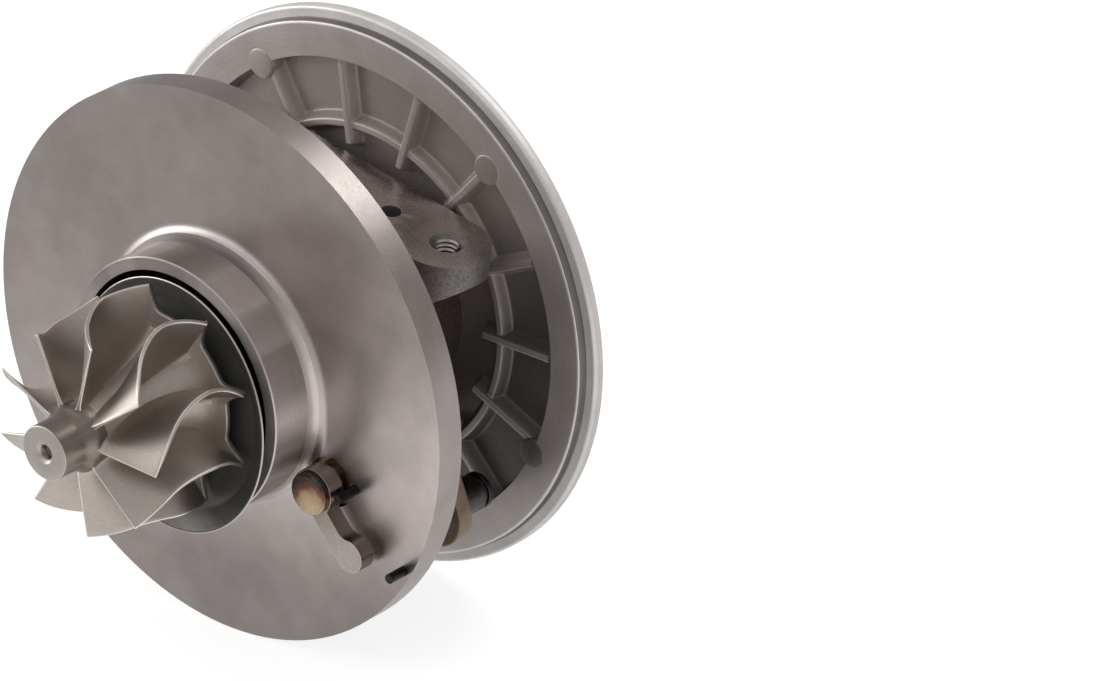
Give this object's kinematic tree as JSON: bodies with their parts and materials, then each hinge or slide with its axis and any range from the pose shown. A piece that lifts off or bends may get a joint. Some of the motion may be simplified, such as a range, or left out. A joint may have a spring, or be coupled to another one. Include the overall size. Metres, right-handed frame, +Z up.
{
  "type": "turbocharger centre cartridge",
  "caption": "Turbocharger centre cartridge: round turbine flange, ribbed backplate, bladed wheels on one shaft, oil pads and a vane crank.",
  "frame": {"origin": "on the shaft axis, in the front face of the round turbine flange", "axes": "+Y along the shaft toward the compressor end, +Z up out of the oil feed pad, +X to the right seen from the turbine end"},
  "size_m": [0.1184, 0.1349, 0.1184],
  "materials": {
    "housing_iron": "machined faces, raw cast barrel",
    "shield_sheet": "dark oxidised sheet",
    "bearing_bronze": "machined",
    "pin_steel": "ground",
    "seal_iron": "ground",
    "plate_aluminium": "cast with machined rim",
    "seal_rubber": "matte",
    "screw_steel": "dark",
    "o_ring_rubber": "satin",
    "bush_bronze": "machined",
    "dowel_steel": "blackened",
    "turbine_alloy": "fine cast",
    "shaft_steel": "ground",
    "wheel_aluminium": "machined",
    "crank_steel": "heat tinted",
    "lever_steel": "heat tinted",
    "arm_steel": "tan",
    "stud_steel": "dark"
  },
  "bodies": {
    "housing": {"bearing_housing": "housing_iron", "heat_shield": "shield_sheet", "journal_bearing": "bearing_bronze", "bearing_pin": "pin_steel", "thrust_bearing": "bearing_bronze", "turbine_seal_ring": "seal_iron", "compressor_seal_ring": "seal_iron", "backplate": "plate_aluminium", "backplate_seal": "seal_rubber", "backplate_screws": "screw_steel", "cover_o_ring": "o_ring_rubber", "crank_bush": "bush_bronze", "stop_dowel": "dowel_steel", "locating_dowel": "dowel_steel"},
    "rotor": {"turbine_wheel": "turbine_alloy", "rotor_shaft": "shaft_steel", "thrust_collar": "shaft_steel", "oil_flinger": "shaft_steel", "compressor_wheel": "wheel_aluminium", "lock_nut": "screw_steel"},
    "vane_crank": {"crank_shaft": "crank_steel", "inner_lever": "lever_steel", "outer_arm": "arm_steel", "actuator_stud": "stud_steel"}
  },
  "joints": [
    {"name": "rotor_spin", "type": "hinge", "parent": "housing", "child": "rotor", "pos_m": [0, 0, 0], "axis": [0, -1, 0], "continuous": true},
    {"name": "crank_swing", "type": "hinge", "parent": "housing", "child": "vane_crank", "pos_m": [0.03201, 0, -0.01053], "axis": [0, -1, 0], "range_deg": [-10, 35]}
  ]
}
